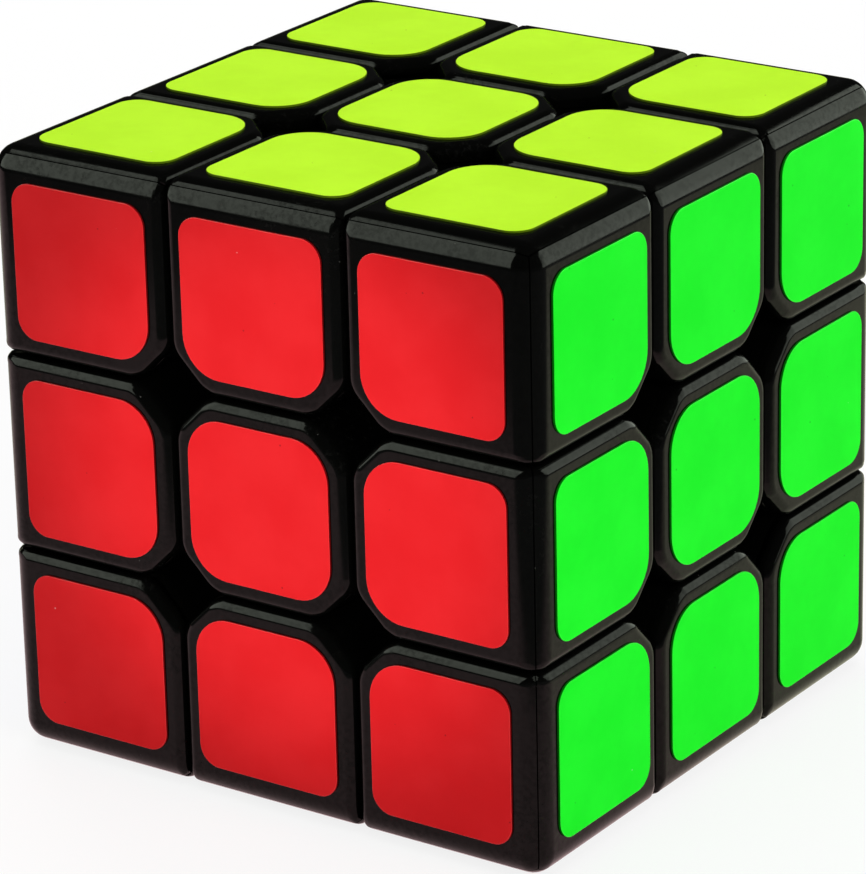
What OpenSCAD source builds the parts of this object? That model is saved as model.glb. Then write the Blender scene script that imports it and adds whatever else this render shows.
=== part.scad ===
// Turning puzzle cube, three layers a side: a six-armed core, six sprung centres, twelve edges and
// eight corners that ride on a round track, each with face shells and coloured vinyl stickers.
// The core's centre is the origin, up is +Z, the front face looks along -Y, the right one along +X.

/* [Cube] */
// Length of one side over the plastic, without stickers
cube_side = 57; // [55:0.5:60]
// Thickness of the middle layer, from cut to cut
mid_layer = 18.65; // [17.5:0.05:19.5]
// Gap between two pieces that slide on each other
running_gap = 0.3; // [0.2:0.02:0.4]

/* [Pieces] */
// Rounding along the outer edges of the cube
edge_round = 2.2; // [1.2:0.1:2.6]
// Rounding round the rim of each face
rim_round = 1; // [0.4:0.1:1.2]
// Leg of the cut where four pieces of a face meet
junction_cut = 3.5; // [2.5:0.1:4]
// Depth of that cut below the face
junction_depth = 10; // [7:0.5:10.5]
// Rounding of the upright edges of that cut
cut_round = 2.6; // [1.6:0.1:3]
// Thickness of the face shells
shell_t = 1.6; // [1.2:0.1:2]
// Walls of the hollow bodies behind the face shells
wall = 1.6; // [1.2:0.1:2]
// Glue joint between shells, seen from outside as a parting line
seam = 0.12; // [0.06:0.02:0.2]

/* [Stickers] */
// Thickness of the vinyl
sticker_t = 0.2; // [0.1:0.05:0.3]
// Bare plastic between a sticker and a layer gap
sticker_inset = 1.72; // [1.4:0.02:2.4]
// Bare plastic between a sticker and an outer edge of the cube
sticker_edge = 2.8; // [2.6:0.1:3.6]
// Corner radius of a sticker where four pieces meet
sticker_round = 3.7; // [3:0.1:4.5]
// Radius of a sticker's other corners
sticker_outer_round = 2; // [1:0.1:2.5]

/* [Track] */
// How far the track lies beyond the inmost point of a corner piece
stalk_root = 3.6; // [3:0.1:4.2]
// Thickness of the feet that run under the neighbours
foot_t = 5; // [4:0.1:5.5]
// Plastic over the track, under the hollow of a piece
floor_t = 1.8; // [1.4:0.1:2.4]
// Radius of the disc under each centre that backs the feet
disc_r = 8; // [7:0.1:8.4]
// Free space between the discs of two neighbouring centres
disc_gap = 2; // [1.5:0.1:2.5]

/* [Axles] */
// Diameter of the screws that carry the centres
screw_d = 3; // [2.5:0.1:3.2]
// Running clearance of a centre on its screw, on the radius
screw_clear = 0.05; // [0.02:0.01:0.1]
// Length of the screw held in the core
screw_grip = 5.2; // [4:0.1:5.5]
// Diameter of a screw head
head_d = 5.6; // [5:0.1:6]
// Height of a screw head
head_t = 1.8; // [1.4:0.1:2.2]
// Outside diameter of a spring
spring_d = 5.4; // [5:0.1:5.8]
// Diameter of the spring wire
wire_d = 0.6; // [0.5:0.05:0.7]
// Length of a fitted spring
spring_l = 7; // [6:0.1:8]
// Turns of a spring
spring_turns = 5; // [4:1:6]
// Thickness of the washer between spring and screw head
washer_t = 0.5; // [0.4:0.1:0.8]
// Space round a spring in its bore
spring_clear = 0.4; // [0.3:0.05:0.5]
// Wall of the tube round a spring
tube_wall = 1.7; // [1.4:0.1:2]
// Thickness of the shoulder that the spring presses on
shoulder_t = 2; // [1.5:0.1:2.5]
// How far the tube of a centre reaches below its disc
tube_drop = 2; // [1.5:0.1:2.5]
// Radius of the core's arms
arm_r = 3.6; // [3.2:0.1:4]
// Length of the arms outside the core's ball
arm_show = 2; // [1.5:0.1:3]
// Length of the plug under the shell of a centre
plug_l = 2; // [1:0.1:3]

/* [Hidden] */
$fn = 96;
half = cube_side / 2;
cut = mid_layer / 2;
slide = running_gap / 2;
mid_half = cut - slide;
layer_in = cut + slide;
shell_in = half - shell_t;
track_r = sqrt(3) * layer_in + stalk_root;
foot_r = track_r - foot_t;
bore_r = spring_d / 2 + spring_clear;
tube_r = bore_r + tube_wall;
foot_in = tube_r + running_gap;
hole_r = screw_d / 2 + screw_clear;
disc_low = disc_r + disc_gap;
tube_low = disc_low - tube_drop;
arm_end = tube_low - slide;
spring_low = tube_low + shoulder_t + slide;
washer_low = spring_low + spring_l;
head_low = washer_low + washer_t;
screw_low = arm_end - screw_grip;
mitre = seam / sqrt(2);
junction_in = junction_cut / sqrt(2);
beyond = 1;
reach = 2 * cube_side;

plastic = [0.05, 0.05, 0.055];
bare_plastic = [0.85, 0.85, 0.83];
steel = [0.72, 0.73, 0.75];
// Sticker colours of the low and high face along each axis
face_colours = [
  [[0.05, 0.25, 0.8], [0.1, 0.95, 0.2]],
  [[0.9, 0.12, 0.14], [1, 0.42, 0.05]],
  [[0.95, 0.95, 0.95], [0.72, 0.95, 0.16]]
];
words = [["left", "", "right"], ["front", "", "back"], ["down", "", "up"]];
kinds = ["core", "centre", "edge", "corner"];

// A place is a piece's step from the core along each axis
steps = [-1, 0, 1];
places = [for (z = steps, y = steps, x = steps) if (faces_of([x, y, z]) > 0) [x, y, z]];
function faces_of(p) = abs(p.x) + abs(p.y) + abs(p.z);
function side_words(p) = [for (k = [2, 1, 0]) if (p[k] != 0) words[k][p[k] + 1]];
function join_words(list, i = 0) = i == len(list) ? "" : str("_", list[i], join_words(list, i + 1));
function piece_name(p) = str(kinds[faces_of(p)], join_words(side_words(p)));
function sticker_name(p) = str(faces_of(p) > 1 ? "stickers_" : "sticker_", piece_name(p));

// Turns local +Z to axis k, with the next two axes after it as local X and Y
module along(k) {
  rotate(a = 120 * ((k + 1) % 3), v = [1, 1, 1])
    children();
}

// Mirrors a piece of the positive side to its own place
module placed(p) {
  mirror([p.x < 0 ? 1 : 0, 0, 0])
    mirror([0, p.y < 0 ? 1 : 0, 0])
      mirror([0, 0, p.z < 0 ? 1 : 0])
        children();
}

// Draws its children on all six arms, built along +Z
module on_each_arm() {
  for (k = [0:2], turn = [0, 1])
    along(k)
      mirror([0, 0, turn])
        children();
}

// Rectangle with its own radius at each corner, from the low one anticlockwise
module rounded_rect(low, high, radii) {
  corners = [low, [high.x, low.y], high, [low.x, high.y]];
  inward = [[1, 1], [-1, 1], [-1, -1], [1, -1]];
  polygon([
    for (i = [0:3], leg = [i % 2 == 0 ? [0, 1] : [1, 0], i % 2 == 0 ? [1, 0] : [0, 1]])
      [for (a = [0, 1]) corners[i][a] + radii[i] * inward[i][a] * leg[a]]
  ]);
  for (i = [0:3])
    if (radii[i] > 0)
      translate(corners[i] + radii[i] * inward[i])
        circle(radii[i]);
}

// Where a piece begins and ends along an axis: in the middle layer, or in an outer one
function low_of(s) = s == 0 ? -mid_half : layer_in;
function high_of(s) = s == 0 ? mid_half : half;
function round_of(out_u, out_v) = [0, rim_round, edge_round][out_u + out_v];

// Block that fills a place, rounded at its rims and on the outer edges of the cube
module rounded_block(p) {
  intersection_for (k = [0:2]) {
    u = p[(k + 1) % 3];
    v = p[(k + 2) % 3];
    along(k)
      translate([0, 0, low_of(p[k]) - beyond])
        linear_extrude(high_of(p[k]) - low_of(p[k]) + 2 * beyond)
          rounded_rect([low_of(u), low_of(v)], [high_of(u), high_of(v)],
            [0, round_of(u, 0), round_of(u, v), round_of(0, v)]);
  }
}

// Side view of the junction cut: its wall, and the rounded rim at its mouth
module junction_profile(grow, depth) {
  edge = junction_in + grow;
  translate([edge - reach, half - depth])
    square([reach, depth + beyond]);
  difference() {
    translate([edge - beyond, half - rim_round])
      square([beyond + rim_round, rim_round + beyond]);
    translate([edge + rim_round, half - rim_round])
      circle(rim_round);
  }
}

// Side view of what the rounding takes off an upright edge of the junction cut, and off its rim
module cut_edge_profile(depth) {
  translate([cut_round, half - depth])
    square([cut_round / 4, depth + beyond]);
  difference() {
    translate([cut_round - rim_round, half - rim_round])
      square([rim_round + cut_round / 8, rim_round + beyond]);
    translate([cut_round - rim_round, half - rim_round])
      circle(rim_round);
  }
}

// What the rounding takes off the two upright edges of the junction cut, and off their rims
module cut_edges(depth) {
  for (side = [0, 1])
    mirror([0, side, 0])
      translate([junction_in + cut_round, junction_in - (sqrt(2) - 1) * cut_round, 0])
        rotate(135)
          rotate_extrude(angle = 45)
            cut_edge_profile(depth);
}

// All junction cuts of a piece, grown by a wall for its hollow
module junction_cuts(p, grow, depth) {
  for (k = [0:2])
    if (p[k] == 1) {
      u = p[(k + 1) % 3];
      v = p[(k + 2) % 3];
      along(k)
        for (cu = u == 0 ? [-1, 1] : [1], cv = v == 0 ? [-1, 1] : [1])
          translate([u == 0 ? -cu * mid_half : layer_in, v == 0 ? -cv * mid_half : layer_in, 0])
            rotate(atan2(cv, cu)) {
              rotate([90, 0, 0])
                linear_extrude(reach, center = true)
                  junction_profile(grow, depth);
              if (grow == 0)
                cut_edges(depth);
            }
    }
}

// Outer form of a piece
module piece_form(p) {
  difference() {
    rounded_block(p);
    junction_cuts(p, 0, junction_depth);
  }
}

// Box of a zone that differs between the middle layer and the outer ones
module zone(p, mid, low, high) {
  from = [for (s = p) s == 0 ? -mid : low];
  to = [for (s = p) s == 0 ? mid : high];
  translate(from)
    cube(to - from);
}

// Outline of a face shell along one axis, mitred towards an outer edge
module shell_outline(s) {
  polygon([
    [-reach, shell_in],
    [s == 1 ? shell_in - mitre : reach, shell_in],
    [s == 1 ? half + beyond - mitre : reach, half + beyond],
    [-reach, half + beyond]
  ]);
}

// Face shell of a piece on axis k
module face_shell(p, k) {
  intersection() {
    piece_form(p);
    along(k)
      rotate([90, 0, 0])
        linear_extrude(reach, center = true)
          shell_outline(p[(k + 1) % 3]);
    along(k)
      rotate([90, 0, 90])
        linear_extrude(reach, center = true)
          shell_outline(p[(k + 2) % 3]);
  }
}

// Hollow behind the face shells, with a wall left all round
module hollow(p) {
  difference() {
    zone(p, mid_half - wall, layer_in + wall, half);
    sphere(track_r + slide + floor_t);
    junction_cuts(p, wall, reach);
  }
}

// Hollow body of a piece, open to its face shells and cut round over the track
module hollow_body(p) {
  difference() {
    intersection() {
      piece_form(p);
      zone(p, cut, 0, shell_in - seam);
    }
    sphere(track_r + slide);
    hollow(p);
  }
}

// Foot that runs under the neighbours, and the stalk that joins it to the body
module foot_and_stalk(p) {
  intersection() {
    zone(p, tube_r, foot_in, half);
    sphere(track_r - slide);
  }
  intersection() {
    zone(p, tube_r, layer_in, half);
    sphere(track_r + slide + floor_t / 2);
  }
}

// Edge or corner: body with its foot, and a shell on each outer face
module outer_piece(p) {
  color(plastic) {
    difference() {
      union() {
        hollow_body(p);
        foot_and_stalk(p);
      }
      sphere(foot_r + slide);
    }
    for (k = [0:2])
      if (p[k] == 1)
        face_shell(p, k);
  }
}

// Tube and disc of a centre, built along +Z
module centre_tube() {
  translate([0, 0, tube_low])
    cylinder(h = shell_in - seam - tube_low, r = tube_r);
  intersection() {
    translate([0, 0, disc_low])
      cylinder(h = foot_r, r = disc_r);
    sphere(foot_r - slide);
  }
}

// Centre: body on its sprung tube, and a shell that plugs the tube
module centre_piece(p, k) {
  color(plastic) {
    difference() {
      union() {
        hollow_body(p);
        along(k)
          centre_tube();
      }
      along(k) {
        translate([0, 0, tube_low - beyond])
          cylinder(h = shoulder_t + 2 * beyond, r = hole_r);
        translate([0, 0, tube_low + shoulder_t])
          cylinder(h = half, r = bore_r);
      }
    }
    face_shell(p, k);
    along(k)
      translate([0, 0, shell_in - plug_l])
        cylinder(h = plug_l + shell_t / 2, r = bore_r - slide);
  }
}

module piece(p) {
  size = [abs(p.x), abs(p.y), abs(p.z)];
  placed(p)
    if (faces_of(p) == 1)
      centre_piece(size, size.x == 1 ? 0 : size.y == 1 ? 1 : 2);
    else
      outer_piece(size);
}

// Where a sticker begins and ends along an axis
function sticker_low(s) = low_of(s) + sticker_inset;
function sticker_high(s) = s == 0 ? mid_half - sticker_inset : half - sticker_edge;
function sticker_radius(outer) = outer ? sticker_outer_round : sticker_round;

module sticker(u, v) {
  translate([0, 0, half])
    linear_extrude(sticker_t)
      rounded_rect([sticker_low(u), sticker_low(v)], [sticker_high(u), sticker_high(v)],
        [for (c = [0, u, u + v, v]) sticker_radius(c > 0)]);
}

// Stickers on all outer faces of one piece
module stickers(p) {
  for (k = [0:2])
    if (p[k] != 0)
      color(face_colours[k][p[k] > 0 ? 1 : 0])
        placed(p)
          along(k)
            sticker(abs(p[(k + 1) % 3]), abs(p[(k + 2) % 3]));
}

// Ball with six arms, each drilled for a screw
module core() {
  color(bare_plastic)
    difference() {
      union() {
        sphere(arm_end - arm_show);
        on_each_arm()
          cylinder(h = arm_end, r = arm_r);
      }
      on_each_arm()
        translate([0, 0, screw_low - slide])
          cylinder(h = arm_end, r = hole_r);
    }
}

// Screws with a cross recess, one on each arm
module axle_screws() {
  recess = [head_d / 2, head_t / 4, head_t / 2];
  color(steel)
    on_each_arm()
      difference() {
        union() {
          translate([0, 0, screw_low])
            cylinder(h = head_low - screw_low + head_t / 2, r = screw_d / 2);
          translate([0, 0, head_low])
            cylinder(h = head_t, r = head_d / 2);
        }
        for (turn = [0, 90])
          rotate(turn)
            translate([-recess.x / 2, -recess.y / 2, head_low + head_t - recess.z])
              cube([recess.x, recess.y, recess.z + beyond]);
      }
}

module washers() {
  color(steel)
    on_each_arm()
      translate([0, 0, washer_low])
        difference() {
          cylinder(h = washer_t, r = spring_d / 2);
          translate([0, 0, -beyond])
            cylinder(h = washer_t + 2 * beyond, r = hole_r);
        }
}

// Wire of one spring, swept along its helix
module spring() {
  rings = 10 * spring_turns;
  sides = 6;
  coil_r = (spring_d - wire_d) / 2;
  rise = spring_l - wire_d - slide;
  points = [
    for (i = [0:rings], j = [0:sides - 1])
      let (turn = 360 * spring_turns * i / rings, lean = 360 * j / sides)
        [(coil_r + wire_d / 2 * cos(lean)) * cos(turn),
         (coil_r + wire_d / 2 * cos(lean)) * sin(turn),
         spring_low + wire_d / 2 + rise * i / rings + wire_d / 2 * sin(lean)]
  ];
  skin = [
    for (i = [0:rings - 1], j = [0:sides - 1], half_quad = [0, 1])
      let (a = i * sides + j, b = i * sides + (j + 1) % sides)
        half_quad == 0 ? [a, a + sides, b] : [b, a + sides, b + sides]
  ];
  first_end = [for (j = [1:sides - 2]) [0, j, j + 1]];
  last_end = [for (j = [1:sides - 2]) [rings * sides, rings * sides + j + 1, rings * sides + j]];
  polyhedron(points, concat(skin, first_end, last_end));
}

module springs() {
  color(steel)
    on_each_arm()
      spring();
}

core();
axle_screws();
springs();
washers();
for (p = places)
  piece(p);
for (p = places)
  stickers(p);
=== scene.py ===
"""Dresses the turning puzzle cube: black pieces, vinyl stickers, the sprung core and a studio stage."""

import itertools
import math

import bmesh
import bpy
from bpy.props import FloatProperty, FloatVectorProperty, IntProperty, PointerProperty
from mathutils import Matrix, Vector


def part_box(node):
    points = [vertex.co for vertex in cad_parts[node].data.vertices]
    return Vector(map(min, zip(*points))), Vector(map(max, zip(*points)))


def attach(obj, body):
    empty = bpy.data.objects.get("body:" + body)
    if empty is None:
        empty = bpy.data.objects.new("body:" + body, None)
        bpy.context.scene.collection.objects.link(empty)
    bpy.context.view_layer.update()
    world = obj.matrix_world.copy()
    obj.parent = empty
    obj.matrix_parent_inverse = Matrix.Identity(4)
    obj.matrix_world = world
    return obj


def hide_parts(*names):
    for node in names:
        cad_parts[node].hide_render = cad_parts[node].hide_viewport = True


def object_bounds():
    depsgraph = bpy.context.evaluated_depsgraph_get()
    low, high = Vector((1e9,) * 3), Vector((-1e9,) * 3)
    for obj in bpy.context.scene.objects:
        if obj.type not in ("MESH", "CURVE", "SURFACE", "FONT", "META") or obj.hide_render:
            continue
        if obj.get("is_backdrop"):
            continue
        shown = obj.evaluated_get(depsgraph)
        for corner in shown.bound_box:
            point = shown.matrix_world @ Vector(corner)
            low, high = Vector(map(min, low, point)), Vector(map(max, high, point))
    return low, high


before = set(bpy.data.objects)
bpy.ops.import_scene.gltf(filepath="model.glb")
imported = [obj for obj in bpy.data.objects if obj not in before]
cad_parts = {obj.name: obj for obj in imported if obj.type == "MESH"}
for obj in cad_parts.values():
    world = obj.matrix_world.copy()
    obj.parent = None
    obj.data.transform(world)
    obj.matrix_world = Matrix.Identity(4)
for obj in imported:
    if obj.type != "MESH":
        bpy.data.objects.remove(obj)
CAD_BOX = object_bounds()

bl_info = {
    "name": "Turning puzzle cube",
    "version": (1, 0, 0),
    "blender": (4, 5, 0),
    "location": "3D View > Sidebar > Puzzle cube",
    "description": "Builds the looks of a stickered turning puzzle cube on its packed frame",
    "category": "Object",
}

MM = 0.001
WHITE = (1, 1, 1, 1)

# Layers along an axis, their words on each axis, and the kind of a piece by the number of its outer faces
LAYERS = (-1, 0, 1)
LAYER_WORDS = (("left", "", "right"), ("front", "", "back"), ("down", "", "up"))
KINDS = {1: "centre", 2: "edge", 3: "corner"}
# Sticker colour of each face, by its axis and its side
FACE_COLOURS = {
    (0, -1): "blue", (0, 1): "green",
    (1, -1): "red", (1, 1): "orange",
    (2, -1): "white", (2, 1): "lime",
}

# Sizes that the frame gives
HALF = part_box("centre_up")[1].z
MID_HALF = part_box("centre_up")[1].x
STICKER_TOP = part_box("sticker_centre_up")[1].z
STICKER_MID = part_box("sticker_centre_up")[1].x
STICKER_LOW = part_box("stickers_corner_up_back_right")[0].x

# Least cosine at which a normal counts as looking along an axis
ALONG = 0.99
# Share of its radius at which the rounding of an edge of 135 degrees starts
ROUND_START = math.tan(math.pi / 8)
# Share of the shells' thickness inside which a corner of the solid belongs to a shell
SHELL_SHARE = 0.99
# Distances at which a cut meets a point, and at which two points of a solid are one
CUT_REACH = 1e-8
MERGE_REACH = 1e-7
# Largest angle between two faces that are shaded as one surface, and the weight that keeps flat faces flat
SMOOTH_ANGLE = math.radians(35)
FLAT_WEIGHT = 100

# Steps of a sticker's corner and of its rolled edge, and of the floor's rim
CORNER_STEPS = 10
ROLL_STEPS = 4
FLOOR_STEPS = 96
# Steps round a screw and a washer, in a turn of thread, over a dome, in a turn of coil and round its wire
SCREW_STEPS = 32
WASHER_STEPS = 48
THREAD_STEPS = 8
DOME_STEPS = 6
COIL_STEPS = 36
WIRE_STEPS = 10

# Screw head in shares of its radius and height: its seat, lower rim, dome and shoulder, and its cross recess
HEAD_SEAT = 0.96
HEAD_RIM = 0.08
HEAD_DOME = 0.36
HEAD_SHOULDER = 0.4
RECESS_ARM = 0.5
RECESS_WIDTH = 0.09
RECESS_DEPTH = 0.5
# Turns that lie closed at each end of a spring
CLOSED_TURNS = 1.0

# Tints of wear: plastic that hands have rubbed, dust on it, and lint on the stickers
RUBBED = (0.012, 0.012, 0.011, 1)
DUST = (0.05, 0.048, 0.043, 1)
LINT = (0.8, 0.78, 0.75, 1)

# Walls that only the gloss mirrors: where each stands, its lowest and highest point, and its width
WALLS = {
    "left_wall": {"spot": (-0.245, -0.235), "heights": (0.01, 0.43), "width": 0.3},
    "left_wall_top": {"spot": (-0.309, -0.158), "heights": (0.43, 0.64), "width": 0.36},
    "back_wall": {"spot": (0.138, 0.168), "heights": (-0.01, 0.172), "width": 0.26},
}
# Share of its radiance that the left wall has near its top
WALL_TOP = 0.7
# Watts that a lamp takes for each square metre and unit of radiance
LAMP_WATTS = 4
# Fills that light only the colours: where each hangs, the point that it faces, and its width and height
FILLS = {
    "top_fill": {"place": (0, 0, 0.7), "target": (0, 0, 0), "size": (0.6, 0.6)},
    "right_fill": {"place": (0.65, -0.15, 0.3), "target": (0, 0, 0), "size": (0.5, 0.5)},
    "back_fill": {"place": (-0.45, 0.5, 0.3), "target": (0, 0, 0), "size": (0.5, 0.5)},
    "low_fill": {"place": (0.055, 0, -0.02), "target": (0, 0, -0.02), "size": (0.1, 0.01)},
}
# Spot on the front face: where it hangs, the point that it faces, its cone, its soft share and its size
SPOT_PLACE = (0.12, -0.55, 0.1)
SPOT_TARGET = (3.7 * MM, -HALF, 3.4 * MM)
SPOT_CONE = math.radians(6.6)
SPOT_BLEND = 0.82
SPOT_SIZE = 0.004

# Share of the floor that shines by itself near the cube, which leaves the rest for the shadow
FLOOR_GLOW = 0.85
# Distance from the middle at which the floor's shading starts to fade into the white behind it
SHADOW_REACH = 0.16
# Radii from the middle of the bright pool, painted into the floor's glow, at which its fade ends
POOL_FADE = 1.1

# Width of the photograph in pixels, and of the camera's sensor in millimetres
IMAGE_WIDTH = 866
SENSOR_WIDTH = 36.0
# Nearest and farthest distance that the camera sees
NEAREST = 0.01
FARTHEST = 20


class PlasticSettings(bpy.types.PropertyGroup):
    """Sizes and finish of the moulded pieces"""

    running_gap: FloatProperty(
        name="Running gap", description="Gap between two neighbouring pieces",
        default=0.3 * MM, unit="LENGTH", precision=5)
    edge_round: FloatProperty(
        name="Outer rounding", description="Rounding along the outer edges of the cube",
        default=2.2 * MM, unit="LENGTH", precision=5)
    rim_round: FloatProperty(
        name="Rim rounding", description="Rounding round the rim of each face",
        default=1.0 * MM, unit="LENGTH", precision=5)
    cut_round: FloatProperty(
        name="Cut rounding", description="Rounding of the upright edges of a junction cut",
        default=2.6 * MM, unit="LENGTH", precision=5)
    junction_cut: FloatProperty(
        name="Junction cut", description="Leg of the cut where four pieces of a face meet",
        default=3.5 * MM, unit="LENGTH", precision=5)
    shell: FloatProperty(
        name="Face shell", description="Thickness of the face shells",
        default=1.6 * MM, unit="LENGTH", precision=5)
    seam: FloatProperty(
        name="Parting line", description="Width of the glue joint between two shells",
        default=0.1 * MM, unit="LENGTH", precision=5)
    segments: IntProperty(
        name="Segments", description="Steps in each rounding", default=8, min=2, max=16)
    colour: FloatVectorProperty(
        name="Plastic", description="Colour of the moulded pieces",
        default=(0.0012, 0.0013, 0.0011), subtype="COLOR", min=0, max=1)
    core_colour: FloatVectorProperty(
        name="Core plastic", description="Colour of the bare core",
        default=(0.8, 0.8, 0.77), subtype="COLOR", min=0, max=1)


class StickerSettings(bpy.types.PropertyGroup):
    """Sizes and colours of the vinyl stickers"""

    edge: FloatProperty(
        name="Bare edge", description="Bare plastic between a sticker and an outer edge of the cube",
        default=2.8 * MM, unit="LENGTH", precision=5)
    junction_round: FloatProperty(
        name="Junction radius", description="Corner radius where four pieces meet",
        default=3.7 * MM, unit="LENGTH", precision=5)
    outer_round: FloatProperty(
        name="Outer radius", description="Radius of a sticker's other corners",
        default=2.0 * MM, unit="LENGTH", precision=5)
    roll: FloatProperty(
        name="Rolled edge", description="Rounding of the cut edge",
        default=0.03 * MM, unit="LENGTH", precision=5)
    bend: FloatProperty(
        name="Bent border", description="Width of the border that the cutting die bends down",
        default=0.08 * MM, unit="LENGTH", precision=5)
    droop: FloatProperty(
        name="Droop", description="How far the bent border comes down at the edge",
        default=0.02 * MM, unit="LENGTH", precision=5)
    lime: FloatVectorProperty(
        name="Lime", description="Sticker colour of the up face",
        default=(0.503, 0.906, 0.017), subtype="COLOR", min=0, max=1)
    white: FloatVectorProperty(
        name="White", description="Sticker colour of the down face",
        default=(0.82, 0.82, 0.81), subtype="COLOR", min=0, max=1)
    red: FloatVectorProperty(
        name="Red", description="Sticker colour of the front face",
        default=(0.812, 0.0138, 0.0182), subtype="COLOR", min=0, max=1)
    orange: FloatVectorProperty(
        name="Orange", description="Sticker colour of the back face",
        default=(0.9, 0.17, 0.008), subtype="COLOR", min=0, max=1)
    green: FloatVectorProperty(
        name="Green", description="Sticker colour of the right face",
        default=(0.002, 0.9, 0.014), subtype="COLOR", min=0, max=1)
    blue: FloatVectorProperty(
        name="Blue", description="Sticker colour of the left face",
        default=(0.008, 0.06, 0.6), subtype="COLOR", min=0, max=1)


class AxleSettings(bpy.types.PropertyGroup):
    """Sizes of the screws, springs and washers on the core"""

    screw_diameter: FloatProperty(
        name="Screw", description="Diameter of a screw over its thread",
        default=3.0 * MM, unit="LENGTH", precision=5)
    screw_length: FloatProperty(
        name="Screw length", description="Length of a screw below its head",
        default=15.0 * MM, unit="LENGTH", precision=5)
    thread_length: FloatProperty(
        name="Thread length", description="Length of the thread held in the core",
        default=5.0 * MM, unit="LENGTH", precision=5)
    thread_pitch: FloatProperty(
        name="Thread pitch", description="Rise of the thread in one turn",
        default=0.9 * MM, unit="LENGTH", precision=5)
    thread_depth: FloatProperty(
        name="Thread depth", description="Depth of the thread",
        default=0.32 * MM, unit="LENGTH", precision=5)
    head_diameter: FloatProperty(
        name="Head", description="Diameter of a screw head",
        default=5.6 * MM, unit="LENGTH", precision=5)
    head_height: FloatProperty(
        name="Head height", description="Height of a screw head",
        default=1.8 * MM, unit="LENGTH", precision=5)
    washer_height: FloatProperty(
        name="Washer", description="Thickness of a washer",
        default=0.5 * MM, unit="LENGTH", precision=5)
    washer_play: FloatProperty(
        name="Washer play", description="Gap between a washer and its screw",
        default=0.05 * MM, unit="LENGTH", precision=5)
    washer_round: FloatProperty(
        name="Washer rounding", description="Rounding of a washer's rims",
        default=0.12 * MM, unit="LENGTH", precision=5)
    spring_diameter: FloatProperty(
        name="Spring", description="Outside diameter of a spring and its washer",
        default=5.4 * MM, unit="LENGTH", precision=5)
    spring_length: FloatProperty(
        name="Spring length", description="Length of a fitted spring",
        default=6.85 * MM, unit="LENGTH", precision=5)
    spring_turns: FloatProperty(
        name="Spring turns", description="Turns of a spring, with the closed ones at its ends",
        default=6.5)
    wire: FloatProperty(
        name="Wire", description="Diameter of the spring wire",
        default=0.6 * MM, unit="LENGTH", precision=5)
    zinc: FloatVectorProperty(
        name="Zinc", description="Colour of the plated screws and washers",
        default=(0.62, 0.63, 0.66), subtype="COLOR", min=0, max=1)
    drawn: FloatVectorProperty(
        name="Drawn wire", description="Colour of the springs",
        default=(0.5, 0.5, 0.53), subtype="COLOR", min=0, max=1)


class StageSettings(bpy.types.PropertyGroup):
    """Camera, floor and lamps"""

    camera_place: FloatVectorProperty(
        name="Camera", description="Where the camera stands",
        default=(227.15 * MM, -329.13 * MM, 150.48 * MM), subtype="TRANSLATION")
    heading: FloatProperty(
        name="Heading", description="How far the camera stands round to the right of the front",
        default=math.radians(34.78), subtype="ANGLE")
    pitch: FloatProperty(
        name="Pitch", description="How far the camera looks down",
        default=math.radians(20.94), subtype="ANGLE")
    roll: FloatProperty(
        name="Roll", description="Turn of the camera about its line of sight",
        default=math.radians(-1.36), subtype="ANGLE")
    focal_pixels: FloatProperty(
        name="Focal length", description="Focal length in pixels of the photograph's width",
        default=4703.3)
    floor_radius: FloatProperty(
        name="Floor", description="Radius of the floor",
        default=6.0, unit="LENGTH")
    floor_colour: FloatVectorProperty(
        name="Floor colour", description="Colour of the floor",
        default=(0.9, 0.9, 0.89), subtype="COLOR", min=0, max=1)
    # Painted light: the pool, its warm and front colours and the dim floor outside it are painted into the
    # floor's glow that mirrored rays see; no lamp lights them
    pool_centre: FloatVectorProperty(
        name="Pool", description="Middle of the bright pool on the floor",
        default=(-0.137, 0.124, -0.03), subtype="TRANSLATION")
    pool_radius: FloatProperty(
        name="Pool radius", description="Radius at which the bright pool starts to fade",
        default=0.25, unit="LENGTH")
    pool_colour: FloatVectorProperty(
        name="Pool colour", description="Warm white that the gloss mirrors from the pool",
        default=(1.0, 1.0, 0.72), subtype="COLOR", min=0, max=1)
    front_pool: FloatVectorProperty(
        name="Front pool", description="What the gloss mirrors from the pool in front of the red face",
        default=(1.3, 0.9, 0.92), subtype="COLOR", min=0, max=2)
    dim_floor: FloatVectorProperty(
        name="Dim floor", description="Brightness that the gloss mirrors outside the pool",
        default=(0.1, 0.1, 0.1), subtype="COLOR", min=0, max=1)
    tent: FloatProperty(
        name="Tent", description="Soft light from all round, which the gloss doesn't mirror",
        default=0.23, min=0)
    dark: FloatProperty(
        name="Dark room", description="What the gloss mirrors where there is no lamp",
        default=0.03, min=0)
    wall_colour: FloatVectorProperty(
        name="Wall colour", description="Tint of the walls that the gloss mirrors",
        default=(0.91, 1.0, 0.85), subtype="COLOR", min=0, max=1)
    left_wall: FloatProperty(
        name="Left wall", description="Radiance of the wall on the left that the gloss mirrors",
        default=3.45, min=0)
    back_wall: FloatProperty(
        name="Back wall", description="Radiance of the wall behind that the gloss mirrors",
        default=2.3, min=0)
    top_fill: FloatProperty(
        name="Top fill", description="Radiance of the fill overhead",
        default=2.0, min=0)
    side_fill: FloatProperty(
        name="Side fill", description="Radiance of the fills on the right and behind",
        default=2.7, min=0)
    low_fill: FloatProperty(
        name="Low fill", description="Radiance of the low strip beside the right face",
        default=0.2, min=0)
    front_spot: FloatProperty(
        name="Front spot", description="Power of the soft spot on the front face, in watts",
        default=5.65, min=0)


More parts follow.
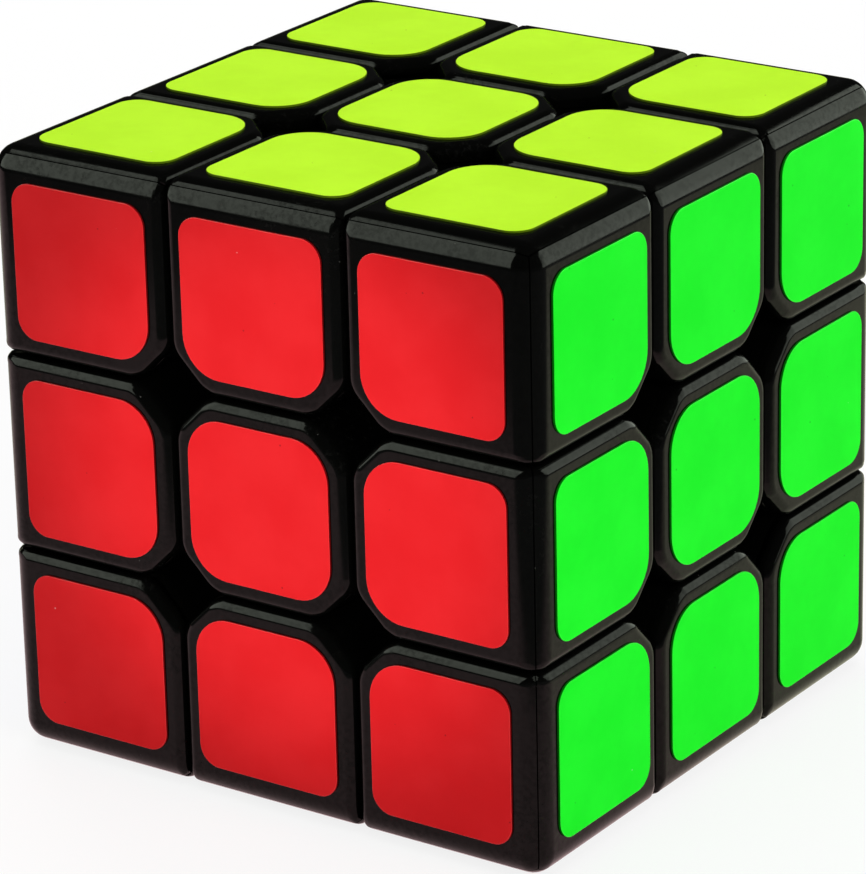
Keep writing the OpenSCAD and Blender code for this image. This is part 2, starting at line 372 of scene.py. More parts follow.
class Wire:
    """An output of a shader node, which Python's operators extend with Math nodes"""

    def __init__(self, tree, socket=None):
        self.tree = tree
        self.socket = socket

    def node(self, kind, settings=None, sockets=None, out=0):
        """Adds a node of any kind: its settings first, then the values or links of its sockets"""
        made = self.tree.nodes.new(kind)
        for name, value in (settings or {}).items():
            setattr(made, name, value)
        for name, value in (sockets or {}).items():
            if isinstance(value, Wire):
                self.tree.links.new(value.socket, made.inputs[name])
            else:
                made.inputs[name].default_value = value
        return Wire(self.tree, made.outputs[out])

    def math(self, operation, *values):
        """Adds a Math node on numbers or wires"""
        return self.node("ShaderNodeMath", {"operation": operation}, dict(enumerate(values)))

    def mix(self, low, high):
        """Blends two colours by this wire"""
        return self.node("ShaderNodeMix", {"data_type": "RGBA"}, {0: self, 6: low, 7: high}, out=2)

    def between(self, low, high):
        """Ramps smoothly from 0 at low to 1 at high"""
        return self.node("ShaderNodeMapRange", {"interpolation_type": "SMOOTHSTEP"},
                         {"Value": self, "From Min": low, "From Max": high})

    def __add__(self, other):
        return self.math("ADD", self, other)

    def __sub__(self, other):
        return self.math("SUBTRACT", self, other)

    def __rsub__(self, other):
        return self.math("SUBTRACT", other, self)

    def __mul__(self, other):
        return self.math("MULTIPLY", self, other)

    def __lt__(self, other):
        return self.math("LESS_THAN", self, other)

    __radd__ = __add__
    __rmul__ = __mul__


def rgba(colour):
    """A colour as a socket takes it"""
    return (*colour, 1.0)


def shaded(colour, share):
    """A colour made darker"""
    return rgba(share * part for part in colour)


def with_painted_sheen(colour, sheen_level):
    """A colour under a thin pale veil: painted sheen, which stands in for a broad reflection of the lamps"""
    return rgba(part + sheen_level for part in colour)


def start_material(name):
    """A new material, its principled shader, and a wire of its coordinates"""
    material = bpy.data.materials.new(name)
    material.use_nodes = True
    tree = material.node_tree
    shader = tree.nodes["Principled BSDF"]
    where = Wire(tree).node("ShaderNodeTexCoord", out="Object")
    return material, shader, where


def feed(shader, **inputs):
    """Sets or links inputs of a shader, with _ for the spaces in their names"""
    for name, value in inputs.items():
        target = shader.inputs[name.replace("_", " ")]
        if isinstance(value, Wire):
            value.tree.links.new(value.socket, target)
        else:
            target.default_value = value


def noise(where, size, detail=2.0, roughness=0.5):
    """Noise whose features are about this size"""
    return where.node("ShaderNodeTexNoise", None,
                      {"Vector": where, "Scale": 1 / size, "Detail": detail, "Roughness": roughness})


def bump(where, height, depth):
    """Normal of a surface whose height goes from 0 to a depth"""
    return where.node("ShaderNodeBump", None, {"Height": height, "Distance": depth})


def on_face(where, axis):
    """The two coordinates along a face, as the first two of a vector"""
    parts = [where.node("ShaderNodeSeparateXYZ", None, {0: where}, out=(axis + turn) % 3) for turn in (1, 2)]
    return where.node("ShaderNodeCombineXYZ", None, dict(enumerate(parts)))


def specks(where, spacing, size, share, dimensions="3D"):
    """Sparse round specks: a share of cells has one of at most this size"""
    kind = {"voronoi_dimensions": dimensions}
    cells = {"Vector": where, "Scale": 1 / spacing}
    distance = where.node("ShaderNodeTexVoronoi", kind, cells, out="Distance")
    chosen = where.node("ShaderNodeTexVoronoi", kind, cells, out="Color")
    lottery = chosen.node("ShaderNodeSeparateColor", None, {0: chosen}, out=0)
    reach = lottery.between(1 - share, 1.0) * (size / spacing)
    return distance < reach


def black_plastic(settings):
    """Glossy moulded plastic with faint mould texture, handling haze and a little dust"""
    material, shader, where = start_material("moulded_black")
    haze = noise(where, 9 * MM, detail=4, roughness=0.6)
    grain = noise(where, 0.22 * MM, detail=2)
    waves = noise(where, 2.6 * MM, detail=1)
    scuffs = noise(where, 0.5 * MM, detail=3, roughness=0.7)
    rubbed = haze.between(0.45, 0.7) * scuffs.between(0.5, 0.75)
    dull = scuffs.between(0.4, 0.65) * (0.35 + 0.65 * haze.between(0.35, 0.6))
    dust = specks(where, 0.9 * MM, 0.07 * MM, 0.12)
    worn = (rubbed * 0.5).mix(rgba(settings.colour), RUBBED)
    colour = dust.mix(worn, DUST)
    rough = 0.08 + 0.09 * haze.between(0.3, 0.75) + 0.03 * grain + 0.16 * rubbed
    normal = bump(where, waves * 0.8 + grain * 0.06, 0.006 * MM)
    feed(shader, Base_Color=colour, Roughness=rough + 0.3 * dust, Normal=normal,
         Coat_Weight=0.1 * (1 - dull), Coat_Roughness=0.1, Specular_IOR_Level=0.07, IOR=1.5)
    return material


def vinyl(name, colour, axis):
    """Vinyl film: dense colour with faint mottling whose pale side adds a painted sheen, a satin face, a
    glossy bent border and a cut edge painted dark as shade
    """
    material, shader, where = start_material(name)
    mottle = noise(where, 6 * MM, detail=3, roughness=0.55)
    grain = noise(where, 0.12 * MM, detail=1)
    waves = noise(where, 4.5 * MM, detail=1.5)
    # The rim is 1 at the cut edge, a half where the bent border starts and 0 on the flat film
    rim = where.node("ShaderNodeAttribute", {"attribute_name": "rim"}, out="Fac")
    cut = rim.between(0.55, 0.8)
    bent = rim.between(0.0, 0.15) - cut
    face = on_face(where, axis)
    dirt = specks(face, 3.3 * MM, 0.09 * MM, 0.2, "2D")
    lint = specks(face, 4.7 * MM, 0.1 * MM, 0.08, "2D")
    # Painted sheen: the mottling runs from a darker film to a paler one under a white veil, which stands in
    # for a broad reflection of the lamps; the mottling itself is the film's own uneven tone
    mottle_and_painted_sheen = mottle.between(0.3, 0.7) * 0.8 + grain * 0.2
    film = mottle_and_painted_sheen.mix(shaded(colour, 0.93), with_painted_sheen(colour, 0.006))
    # Painted shade: the cut edge is painted at a fifth of the film's colour, standing in for the shade on the
    # film's thin wall
    film_and_painted_edge_shade = cut.mix(film, shaded(colour, 0.2))
    soiled = (dirt * 0.6).mix(film_and_painted_edge_shade, shaded(colour, 0.3))
    feed(shader, Base_Color=(lint * 0.4).mix(soiled, LINT),
         Roughness=0.36 + 0.08 * mottle, Normal=bump(where, waves + grain * 0.02, 0.01 * MM),
         Coat_Weight=0.45 * bent, Coat_Roughness=0.15, Specular_IOR_Level=0.03, IOR=1.5)
    return material


def bare_plastic(settings):
    """Satin plastic of the core, as it comes from the mould"""
    material, shader, where = start_material("bare_core")
    clouds = noise(where, 3 * MM, detail=3)
    grain = noise(where, 0.15 * MM, detail=2)
    colour = settings.core_colour
    feed(shader, Base_Color=clouds.mix(shaded(colour, 0.88), rgba(colour)),
         Roughness=0.42 + 0.16 * grain, Normal=bump(where, grain, 0.004 * MM))
    return material


def steel(name, colour, roughness):
    """Metal with drawn or turned marks"""
    material, shader, where = start_material(name)
    clouds = noise(where, 1.2 * MM, detail=4)
    marks = noise(where, 0.08 * MM, detail=2)
    feed(shader, Base_Color=clouds.mix(shaded(colour, 0.8), rgba(colour)), Metallic=1.0,
         Roughness=roughness + 0.15 * marks, Normal=bump(where, marks, 0.002 * MM))
    return material


def looks_out(place, normal):
    """Whether a normal looks straight out of the cube through a face of this place"""
    return any(part * step > ALONG for part, step in zip(normal, place))


def layer_span(step, layer_in):
    """Lowest and highest coordinate of a layer"""
    if step == 0:
        return -MID_HALF, MID_HALF
    return tuple(sorted((step * layer_in, step * HALF)))


def cut_away(bm, point, normal):
    """Removes what lies beyond a plane and closes the hole"""
    geometry = bm.verts[:] + bm.edges[:] + bm.faces[:]
    cut = bmesh.ops.bisect_plane(bm, geom=geometry, dist=CUT_REACH, plane_co=point, plane_no=normal,
                                 clear_outer=True)
    rim = [item for item in cut["geom_cut"] if isinstance(item, bmesh.types.BMEdge)]
    if rim:
        bmesh.ops.contextual_create(bm, geom=rim)


def axis_vector(axis, length):
    """A vector along an axis"""
    vector = Vector((0, 0, 0))
    vector[axis] = length
    return vector


def junctions(place, axis, layer_in):
    """Corner of the block at each junction on a face, with the diagonal that leads from it into the piece"""
    across = [(axis + 1) % 3, (axis + 2) % 3]
    ways = [(-1, 1) if place[a] == 0 else (place[a],) for a in across]
    for way in itertools.product(*ways):
        corner = Vector((0, 0, 0))
        inward = Vector((0, 0, 0))
        for a, w in zip(across, way):
            corner[a] = -w * MID_HALF if place[a] == 0 else w * layer_in
            inward[a] = w
        yield corner, inward.normalized()


def block(place, settings):
    """Convex block of a place with its junction cuts, still with sharp edges"""
    layer_in = MID_HALF + settings.running_gap
    spans = [layer_span(step, layer_in) for step in place]
    middle = Vector([(low + high) / 2 for low, high in spans])
    sides = Vector([high - low for low, high in spans])
    bm = bmesh.new()
    stretched = Matrix.Translation(middle) @ Matrix.Diagonal(sides).to_4x4()
    bmesh.ops.create_cube(bm, size=1, matrix=stretched)
    for axis in range(3):
        if place[axis]:
            for corner, inward in junctions(place, axis, layer_in):
                cut_away(bm, corner + inward * settings.junction_cut / math.sqrt(2), -inward)
    bmesh.ops.recalc_face_normals(bm, faces=bm.faces)
    return bm


def held(bm):
    """Short-lived object of a mesh, which carries modifiers"""
    mesh = bpy.data.meshes.new("held")
    bm.to_mesh(mesh)
    bm.free()
    holder = bpy.data.objects.new("held", mesh)
    bpy.context.scene.collection.objects.link(holder)
    return holder


def release(holder):
    """Removes a short-lived object and its mesh"""
    mesh = holder.data
    bpy.data.objects.remove(holder)
    bpy.data.meshes.remove(mesh)


def modified(holder):
    """The mesh that an object's modifiers make, whose object is removed"""
    done = bmesh.new()
    done.from_mesh(holder.evaluated_get(bpy.context.evaluated_depsgraph_get()).to_mesh())
    release(holder)
    return done


def round_edges(bm, settings, width_of):
    """The mesh with each edge rounded by its own width"""
    layers = bm.edges.layers.float
    weights = layers.get("bevel_weight_edge") or layers.new("bevel_weight_edge")
    for edge in bm.edges:
        edge[weights] = width_of(edge) / settings.edge_round
    holder = held(bm)
    bevel = holder.modifiers.new("rounding", "BEVEL")
    bevel.limit_method = "WEIGHT"
    bevel.width = settings.edge_round
    bevel.segments = settings.segments
    bevel.use_clamp_overlap = False
    return modified(holder)


def rounded_block(place, settings):
    """Block of a place with the upright edges of its cuts rounded first, then its rims and outer edges"""
    def faces_out(edge):
        return sum(looks_out(place, face.normal) for face in edge.link_faces)

    def upright_width(edge):
        run = (edge.verts[1].co - edge.verts[0].co).normalized()
        upright = looks_out(place, run) or looks_out(place, -run)
        return settings.cut_round * ROUND_START if upright and faces_out(edge) == 0 else 0.0

    def rim_width(edge):
        return (0.0, settings.rim_round, settings.edge_round)[faces_out(edge)]

    uprights_done = round_edges(block(place, settings), settings, upright_width)
    return round_edges(uprights_done, settings, rim_width)


def face_shell(form, place, axis, settings):
    """Shell of one face: the skin of the form, mitred towards the shells beside it"""
    shell = form.copy()
    out = axis_vector(axis, place[axis])
    cut_away(shell, out * (HALF - settings.shell), -out)
    for other in range(3):
        if other != axis and place[other]:
            side = axis_vector(other, place[other])
            mitre = (out + side) * HALF - side * settings.seam / math.sqrt(2)
            cut_away(shell, mitre, (side - out).normalized())
    return shell


def inner_body(node, place, settings):
    """Body of a piece behind its shells, with the foot and the stalk, from its solid"""
    bm = bmesh.new()
    bm.from_mesh(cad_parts[node].data)
    bmesh.ops.remove_doubles(bm, verts=bm.verts, dist=MERGE_REACH)
    limit = HALF - settings.shell * SHELL_SHARE
    shells = set()
    for vert in bm.verts:
        if any(part * step > limit for part, step in zip(vert.co, place)):
            shells.add(vert)
    reached = list(shells)
    while reached:
        vert = reached.pop()
        for edge in vert.link_edges:
            other = edge.other_vert(vert)
            if other not in shells:
                shells.add(other)
                reached.append(other)
    bmesh.ops.delete(bm, geom=list(shells), context="VERTS")
    return bm


def joined(parts):
    """One mesh of several, which are freed"""
    whole = bmesh.new()
    for part in parts:
        mesh = bpy.data.meshes.new("part")
        part.to_mesh(mesh)
        part.free()
        whole.from_mesh(mesh)
        bpy.data.meshes.remove(mesh)
    return whole


def add_object(name, bm, material):
    """Object of a mesh, smooth up to an angle, with flat faces kept flat"""
    mesh = bpy.data.meshes.new(name)
    bmesh.ops.recalc_face_normals(bm, faces=bm.faces)
    bm.to_mesh(mesh)
    bm.free()
    mesh.shade_smooth()
    mesh.set_sharp_from_angle(angle=SMOOTH_ANGLE)
    mesh.materials.append(material)
    made = bpy.data.objects.new(name, mesh)
    bpy.context.scene.collection.objects.link(made)
    weighted = made.modifiers.new("flat faces", "WEIGHTED_NORMAL")
    weighted.keep_sharp = True
    weighted.weight = FLAT_WEIGHT
    return made


def places(faces):
    """All places of pieces with this number of outer faces"""
    for z, y, x in itertools.product(LAYERS, LAYERS, LAYERS):
        if abs(x) + abs(y) + abs(z) == faces:
            yield x, y, z


def place_name(place):
    """Name of the piece at a place, such as edge_up_front"""
    words = [LAYER_WORDS[axis][place[axis] + 1] for axis in (2, 1, 0) if place[axis]]
    return "_".join([KINDS[len(words)]] + words)


def sticker_node(place):
    """Name of the frame's node that holds the stickers of a place"""
    several = sum(map(abs, place)) > 1
    return ("stickers_" if several else "sticker_") + place_name(place)


def mould_pieces(context, faces):
    """Makes all pieces with this number of outer faces"""
    settings = context.scene.puzzle_plastic
    material = bpy.data.materials.get("moulded_black") or black_plastic(settings)
    for place in places(faces):
        form = rounded_block(place, settings)
        shells = [face_shell(form, place, axis, settings) for axis in range(3) if place[axis]]
        form.free()
        name = place_name(place)
        whole = joined(shells + [inner_body(name, place, settings)])
        piece = add_object(f"moulded_{name}", whole, material)
        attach(piece, name)
        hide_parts(name)


def rounded_outline(low, high, radii, inset):
    """Points round a rectangle with its own radius at each corner, drawn in by an inset"""
    corners = (low, (high[0], low[1]), high, (low[0], high[1]))
    inward = ((1, 1), (-1, 1), (-1, -1), (1, -1))
    points = []
    for i, (corner, way, radius) in enumerate(zip(corners, inward, radii)):
        centre = (corner[0] + way[0] * radius, corner[1] + way[1] * radius)
        for step in range(CORNER_STEPS + 1):
            angle = math.pi + (i + step / CORNER_STEPS) * math.pi / 2
            points.append((centre[0] + (radius - inset) * math.cos(angle),
                           centre[1] + (radius - inset) * math.sin(angle)))
    return points


def sticker_mesh(place, axis, settings):
    """One sticker: a thin film with rounded corners, a bent border and a rolled edge"""
    u, v = (axis + 1) % 3, (axis + 2) % 3
    low, high = [], []
    for a in (u, v):
        low.append(-STICKER_MID if place[a] == 0 else STICKER_LOW)
        high.append(STICKER_MID if place[a] == 0 else HALF - settings.edge)
    at_outer = (False, place[u] != 0, place[u] != 0 or place[v] != 0, place[v] != 0)
    radii = [settings.outer_round if outer else settings.junction_round for outer in at_outer]

    def surface(inset):
        return STICKER_TOP - settings.droop * (1 - inset / settings.bend) ** 2

    # Height, inset and rim share of each ring: the share falls from 1 at the cut edge to 0 on the flat film
    rings = [(HALF, 0.0, 1.0)]
    for i in range(ROLL_STEPS + 1):
        share = i / ROLL_STEPS
        angle = share * math.pi / 2
        inset = settings.roll * (1 - math.cos(angle))
        rings.append((surface(inset) - settings.roll * (1 - math.sin(angle)), inset, 1 - share / 2))
    for i in range(1, ROLL_STEPS + 1):
        share = i / ROLL_STEPS
        inset = settings.roll + (settings.bend - settings.roll) * share
        rings.append((surface(inset), inset, (1 - share) / 2))
    bm = bmesh.new()
    rim = bm.verts.layers.float.new("rim")
    loops = []
    for height, inset, rim_share in rings:
        loop = []
        for du, dv in rounded_outline(low, high, radii, inset):
            point = Vector((0, 0, 0))
            point[u] = du * (place[u] or 1)
            point[v] = dv * (place[v] or 1)
            point[axis] = height * place[axis]
            vert = bm.verts.new(point)
            vert[rim] = rim_share
            loop.append(vert)
        loops.append(loop)
    for below, above in zip(loops, loops[1:]):
        for i in range(len(below)):
            bm.faces.new((below[i - 1], below[i], above[i], above[i - 1]))
    bm.faces.new(loops[0])
    bm.faces.new(loops[-1])
    return bm


def lathe(profile, steps, radius_at=None):
    """Closed mesh turned about Z from radii and heights that start and end on the axis, or form a ring"""
    bm = bmesh.new()
    rings = []
    for radius, height in profile:
        ring = []
        for step in range(steps if radius else 1):
            angle = 2 * math.pi * step / steps
            reach = radius_at(radius, height, angle) if radius_at else radius
            ring.append(bm.verts.new((reach * math.cos(angle), reach * math.sin(angle), height)))
        rings.append(ring)
    is_ring = len(rings[0]) > 1
    for below, above in zip(rings, rings[1:] + rings[:1] if is_ring else rings[1:]):
        for i in range(steps):
            corners = [below[i - 1], below[i]] if len(below) > 1 else below[:]
            corners += [above[i], above[i - 1]] if len(above) > 1 else above
            bm.faces.new(corners)
    bmesh.ops.recalc_face_normals(bm, faces=bm.faces)
    return bm


def axle_screw(settings):
    """Pan-head screw along +Z with a thread and a cross recess"""
    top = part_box("axle_screws")[1].z
    seat = top - settings.head_height
    low = seat - settings.screw_length
    reach = settings.screw_diameter / 2
    depth = settings.thread_depth
    thread_end = low + settings.thread_length
    thread_rings = THREAD_STEPS * round(settings.thread_length / settings.thread_pitch)
    head = settings.head_diameter / 2
    profile = [(0, low), (reach - depth, low)]
    for i in range(1, thread_rings + 1):
        profile.append((reach, low + i / thread_rings * settings.thread_length))
    profile += [(reach - depth / 2, thread_end + depth), (reach - depth / 2, seat),
                (head * HEAD_SEAT, seat), (head, seat + HEAD_RIM * settings.head_height)]
    for i in range(DOME_STEPS + 1):
        angle = i / DOME_STEPS * math.pi / 2
        radius = head * (1 - HEAD_DOME + HEAD_DOME * math.cos(angle))
        rise = settings.head_height * (HEAD_SHOULDER + (1 - HEAD_SHOULDER) * math.sin(angle))
        profile.append((radius, seat + rise))
    profile.append((0, top))

    def thread(radius, height, angle):
        if not low < height <= thread_end or radius < reach:
            return radius
        turn = (height / settings.thread_pitch - angle / (2 * math.pi)) % 1
        lead = min(1.0, (height - low) / settings.thread_pitch,
                   (thread_end - height) / settings.thread_pitch)
        return radius - depth + lead * depth * max(0.0, 1 - abs(4 * turn - 2))

    arm, width = RECESS_ARM * head, RECESS_WIDTH * head
    outline = [(arm, -width), (arm, width), (width, width)]
    for _ in range(3):
        outline += [(-y, x) for x, y in outline[-3:]]
    sunk = RECESS_DEPTH * settings.head_height
    cross = bmesh.new()
    floor = cross.faces.new([cross.verts.new((x, y, top - sunk)) for x, y in outline])
    raised = bmesh.ops.extrude_face_region(cross, geom=[floor])
    for item in raised["geom"]:
        if isinstance(item, bmesh.types.BMVert):
            item.co.z = top + sunk
    bmesh.ops.recalc_face_normals(cross, faces=cross.faces)
    cutter = held(cross)
    holder = held(lathe(profile, SCREW_STEPS, thread))
    recess = holder.modifiers.new("recess", "BOOLEAN")
    recess.object = cutter
    screw = modified(holder)
    release(cutter)
    return screw


def washer(settings):
    """Flat ring along +Z with rounded rims"""
    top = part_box("washers")[1].z
    low = top - settings.washer_height
    outer = settings.spring_diameter / 2
    inner = settings.screw_diameter / 2 + settings.washer_play
    roll = settings.washer_round
    corners = ((inner + roll, low + roll, 180), (outer - roll, low + roll, 270),
               (outer - roll, top - roll, 0), (inner + roll, top - roll, 90))
    profile = []
    for radius, height, start in corners:
        for turn in (0, 30, 60, 90):
            angle = math.radians(start + turn)
            profile.append((radius + roll * math.cos(angle), height + roll * math.sin(angle)))
    return lathe(profile, WASHER_STEPS)


def spring(settings):
    """Coil spring along +Z whose end turns are closed"""
    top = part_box("springs")[1].z
    low = top - settings.spring_length
    coil = (settings.spring_diameter - settings.wire) / 2
    steps = round(COIL_STEPS * settings.spring_turns)
    rise = settings.spring_length - settings.wire * (1 + 2 * CLOSED_TURNS)
    live_turns = settings.spring_turns - 2 * CLOSED_TURNS
    bm = bmesh.new()
    rings = []
    for i in range(steps + 1):
        turned = settings.spring_turns * i / steps
        dead = min(turned, CLOSED_TURNS) + max(0.0, turned - settings.spring_turns + CLOSED_TURNS)
        live = min(max((turned - CLOSED_TURNS) / live_turns, 0.0), 1.0)
        height = low + settings.wire * (0.5 + dead) + rise * live
        angle = 2 * math.pi * turned
        ring = []
        for j in range(WIRE_STEPS):
            lean = 2 * math.pi * j / WIRE_STEPS
            reach = coil + settings.wire / 2 * math.cos(lean)
            ring.append(bm.verts.new((reach * math.cos(angle), reach * math.sin(angle),
                                      height + settings.wire / 2 * math.sin(lean))))
        rings.append(ring)
    for below, above in zip(rings, rings[1:]):
        for j in range(WIRE_STEPS):
            bm.faces.new((below[j - 1], below[j], above[j], above[j - 1]))
    bm.faces.new(rings[0])
    bm.faces.new(rings[-1])
    return bm


class PUZZLE_OT_corners(bpy.types.Operator):
    """Moulds the eight corner pieces"""

    bl_idname = "puzzle.corners"
    bl_label = "Corner pieces"

    def execute(self, context):
        mould_pieces(context, 3)
        return {"FINISHED"}


class PUZZLE_OT_edges(bpy.types.Operator):
    """Moulds the twelve edge pieces"""

    bl_idname = "puzzle.edges"
    bl_label = "Edge pieces"

    def execute(self, context):
        mould_pieces(context, 2)
        return {"FINISHED"}


class PUZZLE_OT_centres(bpy.types.Operator):
    """Moulds the six centre pieces"""

    bl_idname = "puzzle.centres"
    bl_label = "Centre pieces"

    def execute(self, context):
        mould_pieces(context, 1)
        return {"FINISHED"}


class PUZZLE_OT_stickers(bpy.types.Operator):
    """Puts a sticker on each of the fifty-four faces"""

    bl_idname = "puzzle.stickers"
    bl_label = "Stickers"

    def execute(self, context):
        settings = context.scene.puzzle_stickers
        films = {name: vinyl(f"vinyl_{name}", getattr(settings, name), axis)
                 for (axis, _), name in FACE_COLOURS.items()}
        for place in itertools.chain(*(places(faces) for faces in (1, 2, 3))):
            for axis in range(3):
                if place[axis]:
                    colour = FACE_COLOURS[axis, place[axis]]
                    name = place_name(place)
                    film = sticker_mesh(place, axis, settings)
                    piece = add_object(f"{colour}_sticker_{name}", film, films[colour])
                    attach(piece, name)
                    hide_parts(sticker_node(place))
        return {"FINISHED"}


class PUZZLE_OT_core(bpy.types.Operator):
    """Finishes the six-armed core"""

    bl_idname = "puzzle.core"
    bl_label = "Core"

    def execute(self, context):
        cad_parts["core"].data.materials[0] = bare_plastic(context.scene.puzzle_plastic)
        return {"FINISHED"}


class PUZZLE_OT_axles(bpy.types.Operator):
    """Puts a screw, a washer and a spring on each arm of the core"""

    bl_idname = "puzzle.axles"
    bl_label = "Axles"

    def execute(self, context):
        settings = context.scene.puzzle_axles
        zinc = steel("plated_screw", settings.zinc, roughness=0.24)
        drawn = steel("drawn_spring", settings.drawn, roughness=0.3)
        kinds = (("axle_screws", "screw", axle_screw, zinc, "zinc_steel"),
                 ("washers", "washer", washer, zinc, "zinc_steel"),
                 ("springs", "spring", spring, drawn, "spring_steel"))
        for axis, step in itertools.product(range(3), (-1, 1)):
            turn = axis_vector(axis, step).to_track_quat("Z", "Y").to_matrix().to_4x4()
            for node, word, make, material, slot in kinds:
                bm = make(settings)
                bm.transform(turn)
                piece = add_object(f"{word}_{LAYER_WORDS[axis][step + 1]}", bm, material)
                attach(piece, "core")
                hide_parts(node)
        return {"FINISHED"}


def rays(tree, *kinds):
    """Wires that are 1 for light paths of each of these kinds"""
    return [Wire(tree).node("ShaderNodeLightPath", out=f"Is {kind} Ray") for kind in kinds]


def floor_material(settings):
    """Pale floor that stays near white where it is seen, and keeps a soft shadow; for mirrored rays and rays
    through glass it glows with a painted pool of light, warm white, pinkish in front of the red face and dim
    outside it
    """
    material = bpy.data.materials.new("pale_floor")
    material.use_nodes = True
    tree = material.node_tree
    tree.nodes.clear()
    start = Wire(tree)
    seen, mirrored, through = rays(tree, "Camera", "Glossy", "Transmission")
    place = start.node("ShaderNodeNewGeometry", out="Position")
    depth = start.node("ShaderNodeSeparateXYZ", None, {0: place}, out="Y")
    away = start.node("ShaderNodeVectorMath", {"operation": "LENGTH"}, {0: place}, out="Value")
    apart = start.node("ShaderNodeVectorMath", {"operation": "DISTANCE"},
                       {0: place, 1: settings.pool_centre}, out="Value")
    far = apart.between(settings.pool_radius, POOL_FADE * settings.pool_radius)
    # Painted light: a pool of light and a dim floor beyond it, painted into the glow that mirrored and
    # transmitted rays see
    pool = depth.between(-HALF, HALF).mix(rgba(settings.front_pool), rgba(settings.pool_colour))
    glow_with_painted_pool = seen.mix(far.mix(pool, rgba(settings.dim_floor)), WHITE)
    faded = FLOOR_GLOW + (1 - FLOOR_GLOW) * away.between(SHADOW_REACH, 2 * SHADOW_REACH)
    share = start.math("MAXIMUM", start.math("MAXIMUM", seen, mirrored), through) * faded
    matt = start.node("ShaderNodeBsdfDiffuse", None, {"Color": rgba(settings.floor_colour)})
    glow = start.node("ShaderNodeEmission", None, {"Color": glow_with_painted_pool})
    both = start.node("ShaderNodeMixShader", None, {0: share, 1: matt, 2: glow})
    output = tree.nodes.new("ShaderNodeOutputMaterial")
    tree.links.new(both.socket, output.inputs["Surface"])
    return material


def lay_floor(settings):
    """Round floor under the cube"""
    bm = bmesh.new()
    bmesh.ops.create_circle(bm, cap_ends=True, segments=FLOOR_STEPS, radius=settings.floor_radius,
                            matrix=Matrix.Translation((0, 0, CAD_BOX[0].z)))
    mesh = bpy.data.meshes.new("floor")
    bm.to_mesh(mesh)
    bm.free()
    mesh.materials.append(floor_material(settings))
    floor = bpy.data.objects.new("floor", mesh)
    bpy.context.scene.collection.objects.link(floor)
    floor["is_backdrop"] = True


def hang_lamp(name, lamp, place, target, mirrored):
    """Puts a lamp in its place, facing a point: the gloss mirrors it, or else it lights the colours"""
    made = bpy.data.objects.new(name, lamp)
    made.location = place
    made.rotation_mode = "QUATERNION"
    made.rotation_quaternion = (Vector(target) - Vector(place)).to_track_quat("-Z", "Y")
    made.visible_camera = False
    made.visible_glossy = mirrored
    made.visible_diffuse = not mirrored
    bpy.context.scene.collection.objects.link(made)


def softbox(name, place, target, size, radiance, mirrored_tint=None):
    """Rectangular lamp of a given radiance that faces a point: a fill, or with a tint a wall for the gloss"""
    lamp = bpy.data.lights.new(name, "AREA")
    lamp.shape = "RECTANGLE"
    lamp.size, lamp.size_y = size
    lamp.energy = LAMP_WATTS * size[0] * size[1] * radiance
    lamp.color = mirrored_tint or WHITE[:3]
    hang_lamp(name, lamp, place, target, mirrored_tint is not None)


def stand_wall(name, spot, heights, width, radiance, tint):
    """Upright wall that faces the cube and shows only in the gloss"""
    low, high = heights
    middle = (low + high) / 2
    softbox(name, (*spot, middle), (0, 0, middle), (width, high - low), radiance, tint)


def front_spot(settings):
    """Soft pool of light on the middle of the front face"""
    lamp = bpy.data.lights.new("front_spot", "SPOT")
    lamp.energy = settings.front_spot
    lamp.spot_size = SPOT_CONE
    lamp.spot_blend = SPOT_BLEND
    lamp.shadow_soft_size = SPOT_SIZE
    hang_lamp("front_spot", lamp, SPOT_PLACE, SPOT_TARGET, False)


def hang_lamps(settings):
    """Walls for the gloss, fills for the colours and the spot on the front"""
    walls = {"left_wall": settings.left_wall, "left_wall_top": settings.left_wall * WALL_TOP,
             "back_wall": settings.back_wall}
    for name, radiance in walls.items():
        stand_wall(name, **WALLS[name], radiance=radiance, tint=settings.wall_colour)
    fills = {"top_fill": settings.top_fill, "right_fill": settings.side_fill,
             "back_fill": settings.side_fill, "low_fill": settings.low_fill}
    for name, radiance in fills.items():
        softbox(name, **FILLS[name], radiance=radiance)
    front_spot(settings)


def light_room(settings):
    """White room behind the floor, whose light is soft on the colours and nearly dark in the gloss"""
    world = bpy.data.worlds.new("room")
    world.use_nodes = True
    tree = world.node_tree
    matt, seen, through = rays(tree, "Diffuse", "Camera", "Transmission")
    behind = seen.math("MAXIMUM", seen, through)
    level = matt * (settings.tent - settings.dark) + behind * (1 - settings.dark) + settings.dark
    background = tree.nodes["Background"]
    tree.links.new(level.socket, background.inputs["Strength"])
    background.inputs["Color"].default_value = WHITE
    bpy.context.scene.world = world


def stand_camera(settings):
    """Camera that sees the cube as the photograph does"""
    lens = bpy.data.cameras.new("camera")
    lens.sensor_fit = "HORIZONTAL"
    lens.sensor_width = SENSOR_WIDTH
    lens.lens = settings.focal_pixels / IMAGE_WIDTH * SENSOR_WIDTH
    lens.clip_start = NEAREST
    lens.clip_end = FARTHEST
    flat = math.cos(settings.pitch)
    forward = Vector((-math.sin(settings.heading) * flat, math.cos(settings.heading) * flat,
                      -math.sin(settings.pitch)))
    level = forward.cross(Vector((0, 0, 1))).normalized()
    right = Matrix.Rotation(-settings.roll, 3, forward) @ level
    up = right.cross(forward)
    turn = Matrix((right, up, -forward)).transposed()
    camera = bpy.data.objects.new("camera", lens)
    camera.matrix_world = Matrix.Translation(Vector(settings.camera_place)) @ turn.to_4x4()
    bpy.context.scene.collection.objects.link(camera)
    bpy.context.scene.camera = camera


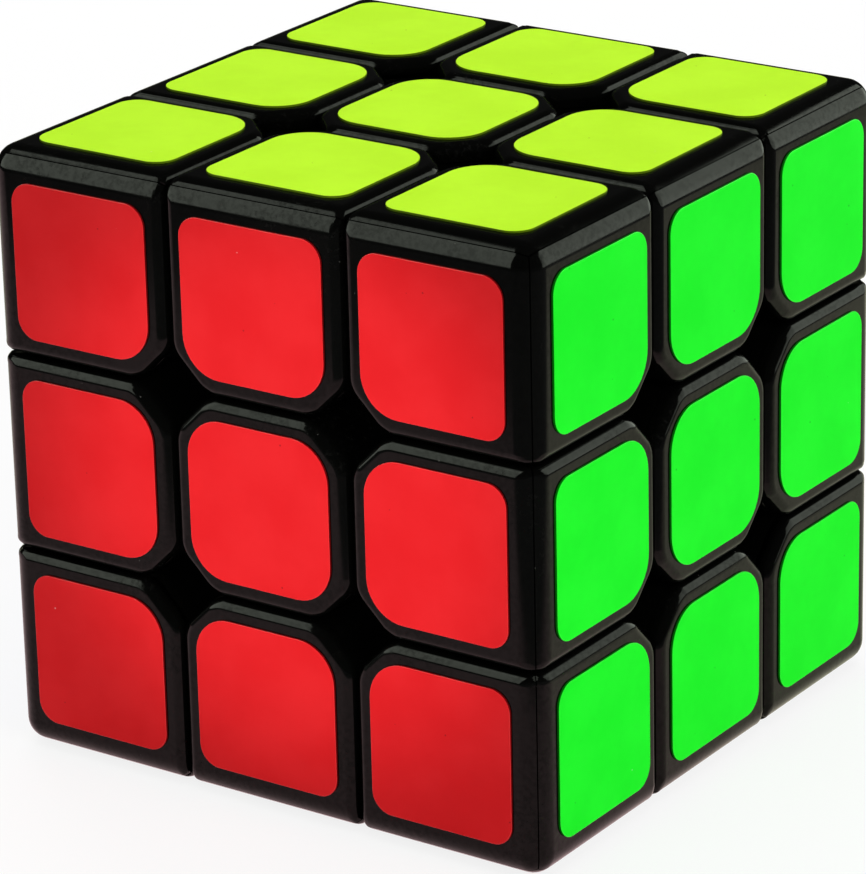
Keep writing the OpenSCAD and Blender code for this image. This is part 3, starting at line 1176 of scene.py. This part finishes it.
class PUZZLE_OT_stage(bpy.types.Operator):
    """Sets the floor, the lamps and the camera"""

    bl_idname = "puzzle.stage"
    bl_label = "Stage"

    def execute(self, context):
        settings = context.scene.puzzle_stage
        lay_floor(settings)
        hang_lamps(settings)
        light_room(settings)
        stand_camera(settings)
        context.scene.view_settings.view_transform = "Standard"
        return {"FINISHED"}


class PUZZLE_PT_panel(bpy.types.Panel):
    """Lists the steps that build the puzzle cube"""

    bl_idname = "PUZZLE_PT_panel"
    bl_label = "Puzzle cube"
    bl_space_type = "VIEW_3D"
    bl_region_type = "UI"
    bl_category = "Puzzle cube"

    def draw(self, context):
        for group in SETTINGS:
            box = self.layout.box()
            owner = getattr(context.scene, group)
            for name in owner.__annotations__:
                box.prop(owner, name)
        for step in BUILD_STEPS:
            self.layout.operator(step.bl_idname)


BUILD_STEPS = (PUZZLE_OT_stage, PUZZLE_OT_corners, PUZZLE_OT_edges, PUZZLE_OT_centres,
               PUZZLE_OT_stickers, PUZZLE_OT_core, PUZZLE_OT_axles)
SETTINGS = {"puzzle_plastic": PlasticSettings, "puzzle_stickers": StickerSettings,
            "puzzle_axles": AxleSettings, "puzzle_stage": StageSettings}


def register():
    """Registers the settings, the build steps and the panel"""
    for group, kind in SETTINGS.items():
        bpy.utils.register_class(kind)
        setattr(bpy.types.Scene, group, PointerProperty(type=kind))
    for step in BUILD_STEPS:
        bpy.utils.register_class(step)
    bpy.utils.register_class(PUZZLE_PT_panel)


def unregister():
    """Takes back what register adds"""
    bpy.utils.unregister_class(PUZZLE_PT_panel)
    for step in reversed(BUILD_STEPS):
        bpy.utils.unregister_class(step)
    for group, kind in SETTINGS.items():
        delattr(bpy.types.Scene, group)
        bpy.utils.unregister_class(kind)


def main():
    """Builds the cube on its stage"""
    register()
    bpy.ops.puzzle.stage()
    bpy.ops.puzzle.corners()
    bpy.ops.puzzle.edges()
    bpy.ops.puzzle.centres()
    bpy.ops.puzzle.stickers()
    bpy.ops.puzzle.core()
    bpy.ops.puzzle.axles()
    boxes = {"cad": CAD_BOX, "visual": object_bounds()}
    {name: [list(corner) for corner in box] for name, box in boxes.items()}


if __name__ == "__main__":
    main()
